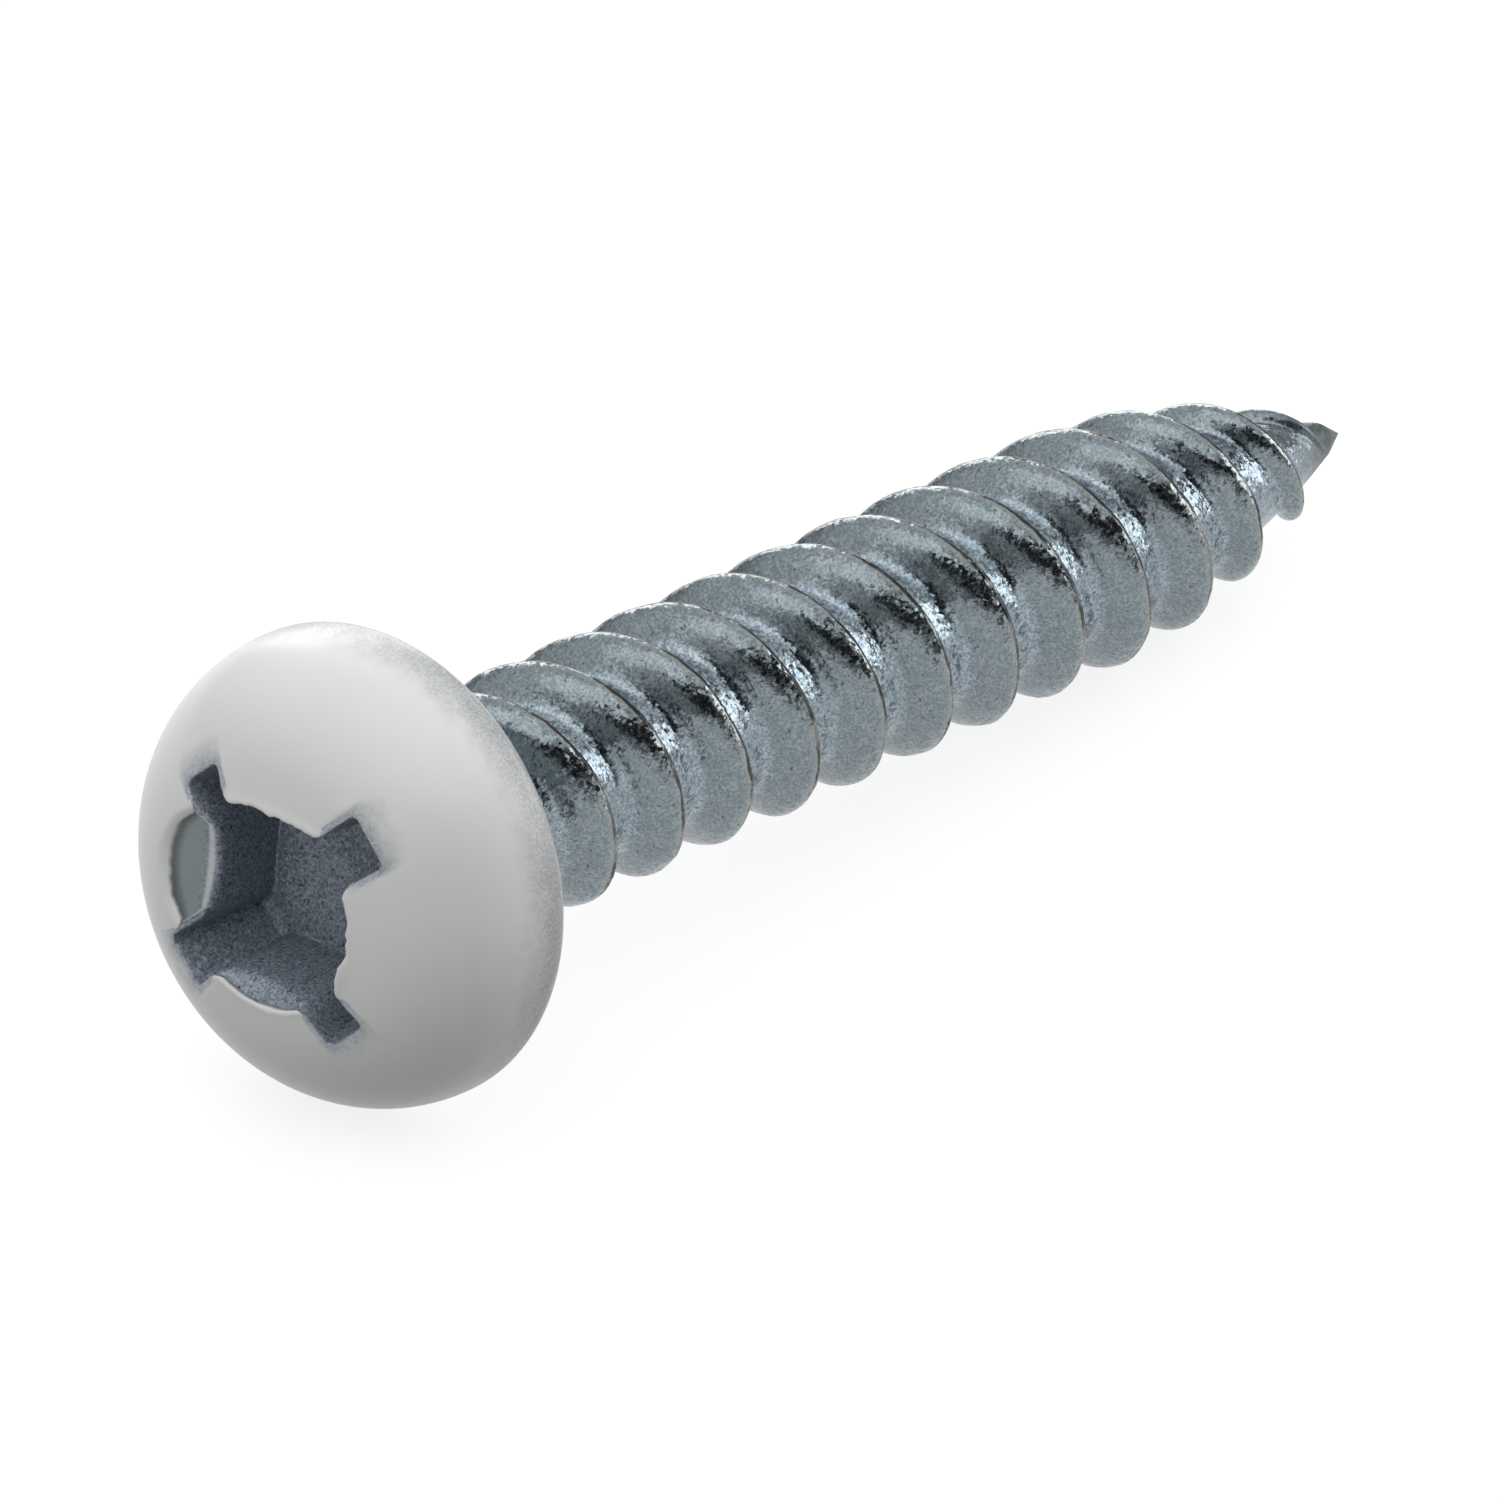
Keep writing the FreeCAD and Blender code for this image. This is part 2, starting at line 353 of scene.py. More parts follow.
def wall_rows():
    """Rows from the recess's floor up to its mouth: places, distance inside and flare share."""
    plan = [("wall", s) for s in WALL_SHARES] + [("flare", s) for s in FLARE_SHARES]
    rows = []
    for kind, share in plan:
        places, inside = [], []
        for column in range(COLUMNS):
            crease = min(creases[column], mouths[column] - LIP - LEAST_FLARE)
            if kind == "wall":
                z = FLOOR + (crease - CREASE_GAP - FLOOR) * share
            else:
                rise_left = mouths[column] - LIP - crease - CREASE_GAP
                z = crease + CREASE_GAP + rise_left * share
            places.append(recess_place(column, z).to_3d() + Vector((0, 0, z)))
            inside.append(mouths[column] - z)
        on_flare = FLARE_FOOT + (1 - FLARE_FOOT) * share if kind == "flare" else 0.0
        rows.append((places, inside, on_flare))
    return rows


inside_rows = wall_rows()
print(len(inside_rows), "rows on the recess's walls")

# %% [markdown]
# Wet paint pulls back from a sharp edge and stands beside it in a bead. A bevel could round the
# mouth, but it would be the same all round. Here the lip's rows swell by an amount that a
# smooth noise gives, so that the mouth gets the soft, wavy edge that paint leaves.

# %% Rows over the lip
LIP_STEPS = 5
# How thick the bead is on each land
BEAD_ON_LAND = (0.02, 0.08, 0.16, 0.16)
BEAD_LUMPS = 2.2
BEAD_SPOT = Vector((3, 1, 7))
BEAD_DIRECTION = (-0.8, 0.5)


def outward(column, z):
    """The direction in plan that points away from the recess, square to its outline."""
    before = recess_place(column - 1, z)
    after = recess_place(column + 1, z)
    along = (after - before).normalized()
    return Vector((along.y, -along.x))


def on_dome(plan):
    """The point of the dome over a point in plan."""
    return plan.to_3d() + Vector((0, 0, dome_height(plan.length)))


mouth_plan = [recess_place(c, mouths[c]) for c in range(COLUMNS)]
away = [outward(c, mouths[c]) for c in range(COLUMNS)]


def paint_bead(column):
    """How far the paint has built up on the mouth's edge in a column, most on the lands."""
    spot = mouth_plan[column].to_3d() * BEAD_LUMPS
    build_up = 0.5 + 0.5 * noise.noise(spot + BEAD_SPOT) + 0.35 * noise.noise(spot * 3)
    return BEAD_ON_LAND[column // QUARTER] * max(build_up, 0.0) * (1 - end_shares[column])


def lip_rows(steps):
    """Rows of a small round from the wall over the mouth's edge onto the dome."""
    inward, up = BEAD_DIRECTION
    rows = []
    for k in range(1, steps + 1):
        share = k / steps
        places = []
        for column in range(COLUMNS):
            z = mouths[column] - LIP
            start = recess_place(column, z).to_3d() + Vector((0, 0, z))
            corner = on_dome(mouth_plan[column])
            end = on_dome(mouth_plan[column] + LIP * away[column])
            place = (1 - share) ** 2 * start + 2 * share * (1 - share) * corner
            bulge = away[column].to_3d() * inward + Vector((0, 0, up))
            # The bead is fullest in the middle of the lip and doesn't quite end at its sides
            swell = paint_bead(column) * math.sin(math.pi * (0.15 + 0.7 * share))
            places.append(place + share**2 * end + bulge * swell)
        rows.append((places, [LIP * (1 - 2 * share)] * COLUMNS, 0.0))
    return rows


over_lip = lip_rows(LIP_STEPS)
print(len(over_lip), "rows over the lip")

# %% Rows on the dome
PAST_LIP = 0.09
DOME_STEPS = 32
DOME_CROWDING = 1.25
QUARTER_SHIFT = CORNER_STEPS + END_STEPS / 2
FIRST_ANGLE = math.pi / 4 + RECESS_TURN


def ease(x):
    """A share from 0 to 1 that starts and ends softly."""
    x = min(max(x, 0.0), 1.0)
    return x * x * (3 - 2 * x)


def dome_rows():
    """Rows that start with the recess's outline and even out into circles at the rim."""
    rows = []
    starts = []
    for column in range(COLUMNS):
        place = mouth_plan[column] + PAST_LIP * away[column]
        starts.append((math.atan2(place.y, place.x), dome_travel(place.length)))
    for k in range(DOME_STEPS + 1):
        share = (k / DOME_STEPS) ** DOME_CROWDING
        places = []
        for column, (angle, travel) in enumerate(starts):
            even = 2 * math.pi * (column - QUARTER_SHIFT) / COLUMNS + FIRST_ANGLE
            turn = (even - angle + math.pi) % (2 * math.pi) - math.pi
            r, z = dome_place(travel + (dome_length - travel) * share)
            a = angle + turn * ease(share)
            places.append(Vector((r * math.cos(a), r * math.sin(a), z)))
        rows.append((places, [-PAST_LIP - 2 * share] * COLUMNS, 0.0))
    return rows


on_top = dome_rows()
print(len(on_top), "rows on the dome")

# %% Rows round the rim and under the head
EDGE_STEPS = 8
FLAT_SHARES = (0.25, 0.5, 0.75, 0.95)
COLLAR_STEPS = 5
# Distance past the rim where the flat begins and on the collar
RIM_TO_FLAT = 0.6
RIM_TO_COLLAR = 2.0


def under_rows():
    """Rows down the rim, round its edge, across the bearing face and round the collar."""
    outline = [(HEAD_RADIUS, EDGE_ROUND, 0.0)]
    for k in range(1, EDGE_STEPS + 1):
        angle = k / EDGE_STEPS * math.pi / 2
        r = HEAD_RADIUS - EDGE_ROUND * (1 - math.cos(angle))
        outline.append((r, EDGE_ROUND * (1 - math.sin(angle)), EDGE_ROUND * angle))
    flat = HEAD_RADIUS - EDGE_ROUND
    collar = NECK_RADIUS + COLLAR_ROUND
    for share in FLAT_SHARES:
        outline.append((flat + (collar - flat) * share, 0.0, RIM_TO_FLAT + share))
    for k in range(COLLAR_STEPS + 1):
        angle = k / COLLAR_STEPS * math.pi / 2
        r = collar - COLLAR_ROUND * math.sin(angle)
        outline.append((r, -COLLAR_ROUND * (1 - math.cos(angle)), RIM_TO_COLLAR))
    rows = []
    for r, z, past_rim in outline:
        angles = [math.atan2(p.y, p.x) for p in on_top[-1][0]]
        places = [Vector((r * math.cos(a), r * math.sin(a), z)) for a in angles]
        rows.append((places, past_rim))
    return rows


below = under_rows()
print(len(below), "rows round the rim and under the head")

# %% [markdown]
# ## Building the head
# The real head is pressed between a die and a punch. The mesh starts as one circle of points at
# the recess's floor. It is filled towards the centre first, as the shallow cone that the punch
# leaves, and then grows ring by ring. Extruding a ring keeps the faces in clean columns of
# quads, which take smooth shading well.

# %% Start the mesh with its layers
mesh = bmesh.new()
past_mouth = mesh.verts.layers.float.new("past_mouth")
past_rim = mesh.verts.layers.float.new("past_rim")
on_lead_in = mesh.verts.layers.float.new("on_lead_in")
at_wing_end = mesh.verts.layers.float.new("at_wing_end")
mesh.verts.layers.float.new("ridge_share")
off_crest = mesh.verts.layers.float.new("off_crest")
mesh.verts.layers.float.new("near_tip")
# Marks in mm for places that aren't near a mouth or a rim, or near a crest
FAR_OFF = 5.0
DEEP_INSIDE = 2.0
NO_CREST = 1.5


def next_ring(ring, places):
    """Extrude a ring of vertices once, and put the new ones at their places in order."""
    edges = [mesh.edges.get((a, b)) for a, b in zip(ring, ring[1:] + ring[:1])]
    grown = bmesh.ops.extrude_edge_only(mesh, edges=edges)["geom"]
    new = {v for v in grown if isinstance(v, bmesh.types.BMVert)}
    found = []
    for v in ring:
        found.append(next(e.other_vert(v) for e in v.link_edges if e.other_vert(v) in new))
    for v, place in zip(found, places):
        v.co = place
    return found


def mark(ring, mouth=-FAR_OFF, rim=-FAR_OFF, lead_in=0.0):
    """Write a ring's numbers for the finishes. A mouth value can be one number or a list."""
    values = mouth if isinstance(mouth, list) else [mouth] * len(ring)
    for column, (v, value) in enumerate(zip(ring, values)):
        v[past_mouth] = value
        v[at_wing_end] = end_shares[column]
        v[past_rim] = rim
        v[on_lead_in] = lead_in * land_shares[column]
        v[off_crest] = NO_CREST


circle = bmesh.ops.create_circle(mesh, segments=COLUMNS, radius=1.0)["verts"]
first_ring = sorted(circle, key=lambda v: math.atan2(v.co.y, v.co.x) % (2 * math.pi))
for v, place in zip(first_ring, inside_rows[0][0]):
    v.co = place
mark(first_ring, mouth=DEEP_INSIDE)
print("first ring of", len(first_ring), "points at the recess's floor")

# %% Floor of the recess
FLOOR_CORNER = 0.04
CONE_SHARES = (0.25, 0.5, 0.75, 0.92)
ring = first_ring
for share in (0.5, 1.0):
    places = []
    for place in inside_rows[0][0]:
        rim = place.xy.normalized() * (SQUARE_AT_FLOOR / 2 - FLOOR_CORNER)
        places.append(place.lerp(Vector((rim.x, rim.y, FLOOR)), share))
    ring = next_ring(ring, places)
    mark(ring, mouth=DEEP_INSIDE)
cone_rim = [v.co.copy() for v in ring]
for share in CONE_SHARES:
    drop = Vector((0, 0, -FLOOR_CONE_DEPTH * share))
    places = [Vector((p.x * (1 - share), p.y * (1 - share), p.z)) + drop for p in cone_rim]
    ring = next_ring(ring, places)
    mark(ring, mouth=DEEP_INSIDE)
last_edges = [mesh.edges.get((a, b)) for a, b in zip(ring, ring[1:] + ring[:1])]
centre = bmesh.ops.contextual_create(mesh, geom=last_edges)["faces"]
cone_bottom = bmesh.ops.poke(mesh, faces=centre)["verts"][0]
cone_bottom[past_mouth] = DEEP_INSIDE
cone_bottom[past_rim] = -FAR_OFF
cone_bottom[off_crest] = NO_CREST
print(len(mesh.faces), "faces on the recess's floor")

# %% Walls, lip, dome, rim and underside
ring = first_ring
for places, inside, lead_in in inside_rows[1:] + over_lip + on_top:
    ring = next_ring(ring, places)
    to_rim = min(dome_travel(min(p.xy.length, HEAD_RADIUS)) for p in places) - dome_length
    mark(ring, mouth=inside, rim=to_rim, lead_in=lead_in)
for places, beyond in below:
    ring = next_ring(ring, places)
    mark(ring, rim=beyond)
print(len(mesh.faces), "faces on the head")

# %% [markdown]
# ## The thread
# A thread is a spin that climbs. A screw modifier could make it, but then every ridge would be
# the same as the next and couldn't shrink into the point. Here a straight chain of points, one
# lead long, is spun round the axis and lifted a little at each step, so that it closes on
# itself after a turn. That gives a plain tube whose rows follow the helix, and each row then
# moves out to its height on the ridge, in towards the point, or back to the neck.

# %% How the thread's sizes change along the shank
def point_share(t):
    """How far the point has grown at t above the tip."""
    x = t / POINT_LENGTH
    x = (x + math.hypot(x, NIB_BLEND)) / 2
    return 1 - (1 - min(x, 1.0)) ** 2


def run_out_share(t):
    """How far the thread has faded at t above the tip."""
    return ease((t - (SHANK_LENGTH - NECK_LENGTH - RUN_OUT_LENGTH)) / RUN_OUT_LENGTH)


def thread_sizes(t):
    """Root radius and crest radius at t above the tip."""
    grown = point_share(t)
    faded = run_out_share(t)
    root = NIB_RADIUS + (ROOT_RADIUS - NIB_RADIUS) * grown
    crest = root + THREAD_HEIGHT * grown
    return root + (NECK_RADIUS - root) * faded, crest + (NECK_RADIUS - crest) * faded


print("root and crest at mid shank", [round(v, 2) for v in thread_sizes(12.0)])

# %% [markdown]
# The rolled ridge isn't a plain wedge. Its side towards the head is round and full and then
# falls to a level valley, and its side towards the tip is steep. Both are given as distances
# from the crest in mm, each with the height there as a share of the thread's height. Few
# points would show as flats in so shiny a surface, so the round parts have more of them.

# %% The ridge's outline
HEAD_SIDE = (
    (0.00, 0.99), (0.02, 1.00), (0.05, 0.998), (0.12, 0.975), (0.20, 0.925), (0.28, 0.845),
    (0.36, 0.73), (0.43, 0.595), (0.50, 0.425), (0.56, 0.265), (0.62, 0.125), (0.68, 0.04),
    (0.76, 0.00),
)
TIP_SIDE = (
    (0.00, 0.99), (0.025, 0.98), (0.05, 0.96), (0.09, 0.90), (0.14, 0.78), (0.20, 0.61),
    (0.27, 0.42), (0.34, 0.24), (0.41, 0.10), (0.48, 0.03), (0.56, 0.00), (0.66, 0.00),
    (0.77, 0.00),
)
HEAD_SIDE_FOOT = HEAD_SIDE[-1][0]
TIP_SIDE_FOOT = TIP_SIDE[-3][0]
FAR = CREST_SPACING / 2
JUST_PAST = 0.001
LEAST_RIDGE = 0.25
chain = [-FAR] + [-d for d, height in reversed(TIP_SIDE[1:])] + [d for d, height in HEAD_SIDE]
print(len(chain), "points to a crest")


def ridge_height(away):
    """Height share at a distance from the crest, positive towards the head."""
    side = (HEAD_SIDE if away > 0 else TIP_SIDE) + ((FAR + JUST_PAST, 0.0),)
    for (d0, h0), (d1, h1) in zip(side, side[1:]):
        if abs(away) <= d1:
            return h0 + (h1 - h0) * (abs(away) - d0) / (d1 - d0)
    return 0.0


def ridge_step(away, centre):
    """The same distance where the ridge has shrunk with the point."""
    foot = HEAD_SIDE_FOOT if away > 0 else TIP_SIDE_FOOT
    shrunk = max(point_share(centre), LEAST_RIDGE)
    if abs(away) <= foot:
        return away * shrunk
    rest = (abs(away) - foot) / (FAR - foot)
    return math.copysign(foot * shrunk + (FAR - foot * shrunk) * rest, away)


# %% Spin one turn of the tube
STATIONS = 64
FIRST_TURN = -1.5
tube = bmesh.new()
points = []
for crest in (0, 1):
    for away_from_crest in chain:
        t = (FIRST_TURN + crest / 2) * LEAD + away_from_crest
        points.append(tube.verts.new((1.0, 0.0, t)))
points.append(tube.verts.new((1.0, 0.0, (FIRST_TURN + 1) * LEAD - FAR)))
line = [tube.edges.new(pair) for pair in zip(points, points[1:])]
bmesh.ops.spin(
    tube,
    geom=points + line,
    cent=(0, 0, 0),
    axis=(0, 0, 1),
    dvec=(0, 0, LEAD / STATIONS),
    angle=2 * math.pi,
    steps=STATIONS,
    space=Matrix.Identity(4),
    use_merge=False,
    use_normal_flip=False,
    use_duplicate=False,
)
print(len(tube.verts), "points in one turn")

# %% Copy the turn up the screw
turns = math.ceil((SHANK_LENGTH + 1.0) / LEAD - FIRST_TURN)
one_turn = tube.verts[:] + tube.edges[:] + tube.faces[:]
for turn in range(1, turns):
    copied = bmesh.ops.duplicate(tube, geom=one_turn)["geom"]
    moved = [v for v in copied if isinstance(v, bmesh.types.BMVert)]
    bmesh.ops.translate(tube, verts=moved, vec=(0, 0, turn * LEAD))
bmesh.ops.remove_doubles(tube, verts=tube.verts, dist=0.001)
print(len(tube.verts), "points in", turns, "turns")

# %% Finer rows for the tip
TIP_ROWS = (-0.4, 0.5)
tip_edges = [e for e in tube.edges if all(TIP_ROWS[0] < v.co.z < TIP_ROWS[1] for v in e.verts)]
bmesh.ops.subdivide_edges(tube, edges=tip_edges, cuts=1, use_grid_fill=True)
print(len(tube.verts), "points with the finer tip")

# %% [markdown]
# Now every vertex of the tube moves to its place. Its height above the tip and its angle say
# which crest it belongs to and how far from that crest it is. On the real screw the dies leave
# the ridges a little wavy and dented, the last stretch of the point is pinched bare and a bit
# flat, and the end is sharp. Sculpting could do that once. A formula does it on every ridge,
# with a smooth noise that gives the same screw each time.

# %% How the thread is worn and dented
SWAY = 0.05
SWAY_SIZE = 1.3
DENT_DEPTH = 0.022
DENT_SIZE = 0.7
TIP_CLOSES = 0.03
SPIKE_LENGTH = 0.70
BARE_LENGTH = 0.5
THREAD_GROWS_OVER = 1.6
FLATTENED = 0.12
FLAT_TURN = 1.0
DULL_LENGTH = 3.0


def lumps(place, size):
    """Smooth random lumps between about -1 and 1, of a size in mm."""
    return noise.noise(place / size) + 0.5 * noise.noise(place * 2.3 / size)


print("dents up to about", 2 * DENT_DEPTH, "mm deep")

# %% Put every row at its height on the ridge
tube_ridge = tube.verts.layers.float.new("ridge_share")
tube_crest = tube.verts.layers.float.new("off_crest")
tube_tip = tube.verts.layers.float.new("near_tip")


def shape_tube(v):
    """Move one vertex of the tube to its place on the thread."""
    angle = math.atan2(v.co.y, v.co.x)
    pitch = (v.co.z - angle / (2 * math.pi) * LEAD) / CREST_SPACING
    away = (pitch - round(pitch)) * CREST_SPACING
    centre = v.co.z - away
    height = ridge_height(away)
    side = Vector((math.cos(angle), math.sin(angle), 0))
    sway = lumps(side * 2 + Vector((0, 0, centre)), SWAY_SIZE)
    t = centre + ridge_step(away, centre)
    t += SWAY * height * sway * point_share(t)
    if t <= TIP_CLOSES:
        # Rows below the tip gather in its one point
        v.co = Vector((0, 0, -SHANK_LENGTH))
        v[tube_ridge] = 0.5
        v[tube_crest] = 0.2
        v[tube_tip] = 1.0
        return
    root, crest = thread_sizes(t)
    faded = run_out_share(t)
    bare = ease(1 - (t - BARE_LENGTH) / THREAD_GROWS_OVER)
    oval = 1 + FLATTENED * bare * math.cos(2 * angle + FLAT_TURN)
    radius = root * oval + (crest - root) * height * (1 - bare)
    dents = 1 + lumps(side * radius + Vector((0, 0, t)), DENT_SIZE)
    radius -= DENT_DEPTH * max(dents, 0) * (point_share(t) + bare) * (1 - faded)
    radius *= 1 - (1 - min(t / SPIKE_LENGTH, 1.0)) ** 2
    v.co = side * radius + Vector((0, 0, t - SHANK_LENGTH))
    v[tube_ridge] = math.copysign(height, away) * (1 - faded)
    v[tube_crest] = abs(t - centre) + faded + bare
    v[tube_tip] = max(0.0, 1 - t / DULL_LENGTH)


for v in tube.verts:
    shape_tube(v)
bmesh.ops.remove_doubles(tube, verts=tube.verts, dist=0.0005)
bmesh.ops.dissolve_degenerate(tube, dist=0.0002, edges=tube.edges)
print(len(tube.faces), "faces on the thread")

# %% [markdown]
# ## Head and thread in one skin
# On the real screw the neck flows into the head. The two meshes could simply overlap, but the
# line where they cross would show in the shine. So the tube is cut level a little under the
# head's collar, and a bridge of faces joins the two rings of edges.

# %% Cut the tube level under the collar
UNDER_COLLAR = 0.04
plane = Vector((0, 0, -COLLAR_ROUND - UNDER_COLLAR))
bmesh.ops.bisect_plane(
    tube,
    geom=tube.verts[:] + tube.edges[:] + tube.faces[:],
    dist=0.0002,
    plane_co=plane,
    plane_no=(0, 0, 1),
    clear_outer=True,
    clear_inner=False,
)
bmesh.ops.recalc_face_normals(tube, faces=tube.faces)
tube_mesh = bpy.data.meshes.new("thread_tube")
tube.to_mesh(tube_mesh)
tube.free()
head_verts = set(mesh.verts)
mesh.from_mesh(tube_mesh)
bpy.data.meshes.remove(tube_mesh)
print("thread cut at", round(plane.z, 2), "mm")

# %% Join neck and thread
NECK_ABOVE = -1.0
past_mouth = mesh.verts.layers.float["past_mouth"]
past_rim = mesh.verts.layers.float["past_rim"]
for v in mesh.verts:
    if v not in head_verts:
        v[past_mouth] = -FAR_OFF
        v[past_rim] = FAR_OFF
open_edges = [e for e in mesh.edges if e.is_boundary and e.verts[0].co.z > NECK_ABOVE]
bmesh.ops.bridge_loops(mesh, edges=open_edges)
bmesh.ops.recalc_face_normals(mesh, faces=mesh.faces)
left_open = [e for e in mesh.edges if not e.is_manifold]
print(len(open_edges), "edges joined,", len(left_open), "left open")

# %% Lay the screw down
bmesh.ops.transform(mesh, matrix=LAID_DOWN, verts=mesh.verts)
for f in mesh.faces:
    f.smooth = True
screw_mesh = bpy.data.meshes.new("screw_skin")
mesh.to_mesh(screw_mesh)
mesh.free()
screw = bpy.data.objects.new("screw_skin", screw_mesh)
bpy.context.collection.objects.link(screw)
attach(screw, "root")
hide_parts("screw")
screw_mesh.calc_loop_triangles()
print(len(screw_mesh.loop_triangles), "triangles in the screw")

# %% [markdown]
# ## Finishes
# Colours are written as they look on a screen, and Cycles wants them linear. One function
# turns them over, and one adds a node with its settings and links. Patterns are placed on
# Object coordinates in millimetres, so that one unit of a pattern is a real size. Image
# textures could carry the same looks, but they would blur close up.

# %% Helpers for the finishes
def colour(hex_code):
    """A screen colour such as "#C8D0D6" as linear RGBA."""
    parts = [int(hex_code[k : k + 2], 16) / 255 for k in (1, 3, 5)]
    linear = [c / 12.92 if c <= 0.04045 else ((c + 0.055) / 1.055) ** 2.4 for c in parts]
    return (*linear, 1.0)


def add_node(tree, kind, inputs=None, out=0, **settings):
    """Add a node with its settings, give each input a value or an output, and return an output."""
    node = tree.nodes.new("ShaderNode" + kind)
    for name, value in settings.items():
        setattr(node, name, value)
    for name, value in (inputs or {}).items():
        if isinstance(value, bpy.types.NodeSocket):
            tree.links.new(value, node.inputs[name])
        else:
            node.inputs[name].default_value = value
    return node.outputs[out] if len(node.outputs) else None


def blank_material(name):
    """A new material with an empty node tree."""
    material = bpy.data.materials.new(name)
    material.use_nodes = True
    material.node_tree.nodes.clear()
    return material, material.node_tree


def millimetres(tree):
    """Object coordinates counted in millimetres."""
    place = add_node(tree, "TexCoord", out="Object")
    return add_node(tree, "Mapping", {"Vector": place, "Scale": (1000, 1000, 1000)})


print("white", [round(c, 3) for c in colour("#EAEAE7")])

# %% [markdown]
# Some settings come back in every finish. A Map Range node set to SOFT steps softly from 0 to 1
# while its input 0 goes from input 1 to input 2. Inputs 3 and 4 are given where the step isn't
# from 0 to 1. A Mix node set to TONES mixes the colours 6 and 7 by the share 0, and its result
# is output 2. A Math node takes its values as inputs 0, 1 and 2.

# %% Settings that come back
SOFT = {"interpolation_type": "SMOOTHSTEP"}
TONES = {"data_type": "RGBA", "out": 2}
TIMES = {"operation": "MULTIPLY"}
TIMES_PLUS = {"operation": "MULTIPLY_ADD"}
LARGER = {"operation": "MAXIMUM"}
print("settings ready")

# %% [markdown]
# Zinc from a plating bath grows as crystals a few hundredths of a millimetre across. Each one
# mirrors its own bit of the room, which is the sparkle. A bump map could roughen the surface,
# but it gives slopes and not flat facets. So this helper turns the surface's normal by a small
# random amount in each crystal. It serves the thread and the bare zinc in the recess, where
# crystals are drawn 0.07 and 0.06 mm across, a little coarser than real, so that they show.

# %% Zinc crystals
CRYSTAL_ON_THREAD = 0.07
CRYSTAL_IN_RECESS = 0.06
EDGE_WANDER = (0.08, 0.08, 0.08)


def crystals(tree, mm, size, tilt):
    """A normal that is turned at random in each crystal, by up to about tilt."""
    wander = add_node(tree, "TexNoise", {"Vector": mm, "Scale": 9.0, "Detail": 1.0}, out="Color")
    bent = add_node(
        tree, "VectorMath", {0: wander, 1: EDGE_WANDER, 2: mm}, operation="MULTIPLY_ADD"
    )
    pick = add_node(tree, "TexVoronoi", {"Vector": bent, "Scale": 1 / size}, out="Color")
    centred = add_node(tree, "VectorMath", {0: pick, 1: (0.5, 0.5, 0.5)}, operation="SUBTRACT")
    lean = add_node(tree, "VectorMath", {0: centred, "Scale": tilt}, operation="SCALE")
    normal = add_node(tree, "NewGeometry", out="Normal")
    leaning = add_node(tree, "VectorMath", {0: normal, 1: lean}, operation="ADD")
    return add_node(tree, "VectorMath", {0: leaning}, operation="NORMALIZE")


print("crystals", CRYSTAL_ON_THREAD, "and", CRYSTAL_IN_RECESS, "mm across")

# %% [markdown]
# ## Zinc plate on the thread
# Bright zinc plate is a bluish grey metal with a satin shine. On the thread it is bluer in the
# valleys, and painted lighter there as a painted reflection of the lamp band that they mirror.
# It is greyer on the ridges' sides, cloudy in patches, and pitted here and there, and it is
# darkest and dullest at the tip, where the dies work hardest. The numbers on the mesh say where
# each of these tones goes.

# %% Tones of the plate
GRAIN_SIZE = 0.05
CLOUD_SIZE = 0.22
PIT_SIZE = 0.09
# Plated steel: a cool grey mirror, broken up into crystals that sparkle
zinc, tree = blank_material("bright_zinc_plate_on_rolled_thread")
mm = millimetres(tree)
ridge = add_node(tree, "Attribute", out="Fac", attribute_name="ridge_share")
height = add_node(tree, "Math", {0: ridge}, operation="ABSOLUTE")
flank = add_node(tree, "MapRange", {0: height, 1: 0.04, 2: 0.25}, **SOFT)
grain = add_node(tree, "TexNoise", {"Vector": mm, "Scale": 1 / GRAIN_SIZE, "Detail": 1.0})
fine = add_node(tree, "MapRange", {0: grain, 1: 0.35, 2: 0.65}, **SOFT)
# Painted reflection: the valleys are lighter, standing in for the lamp band that they mirror
painted_bright_valley = add_node(tree, "Mix", {0: fine, 6: colour("#77858E"), 7: colour("#A1ACB4")}, **TONES)
flank_tone = add_node(tree, "Mix", {0: fine, 6: colour("#727D81"), 7: colour("#8F989C")}, **TONES)
plate = add_node(tree, "Mix", {0: flank, 6: painted_bright_valley, 7: flank_tone}, **TONES)
print("valley and flank:", len(tree.nodes), "nodes")

# %% Clouds, pits and the dull tip
clouds = add_node(tree, "TexNoise", {"Vector": mm, "Scale": 1 / CLOUD_SIZE})
clouds = add_node(tree, "MapRange", {0: clouds, 1: 0.36, 2: 0.64, 4: 0.35}, **SOFT)
plate = add_node(tree, "Mix", {0: clouds, 6: plate, 7: colour("#6A767C")}, **TONES)
pits = add_node(tree, "TexNoise", {"Vector": mm, "Scale": 1 / PIT_SIZE})
pits = add_node(tree, "MapRange", {0: pits, 1: 0.35, 2: 0.29, 4: 0.7}, **SOFT)
plate = add_node(tree, "Mix", {0: pits, 6: plate, 7: colour("#3C4248")}, **TONES)
to_tip = add_node(tree, "Attribute", out="Fac", attribute_name="near_tip")
tip = add_node(tree, "MapRange", {0: to_tip, 1: 0.1, 2: 0.9}, **SOFT)
dull = add_node(tree, "Math", {0: tip, 1: 0.85}, **TIMES)
plate = add_node(tree, "Mix", {0: dull, 6: plate, 7: colour("#3E4142")}, **TONES)
print("zinc plate tones:", len(tree.nodes), "nodes")
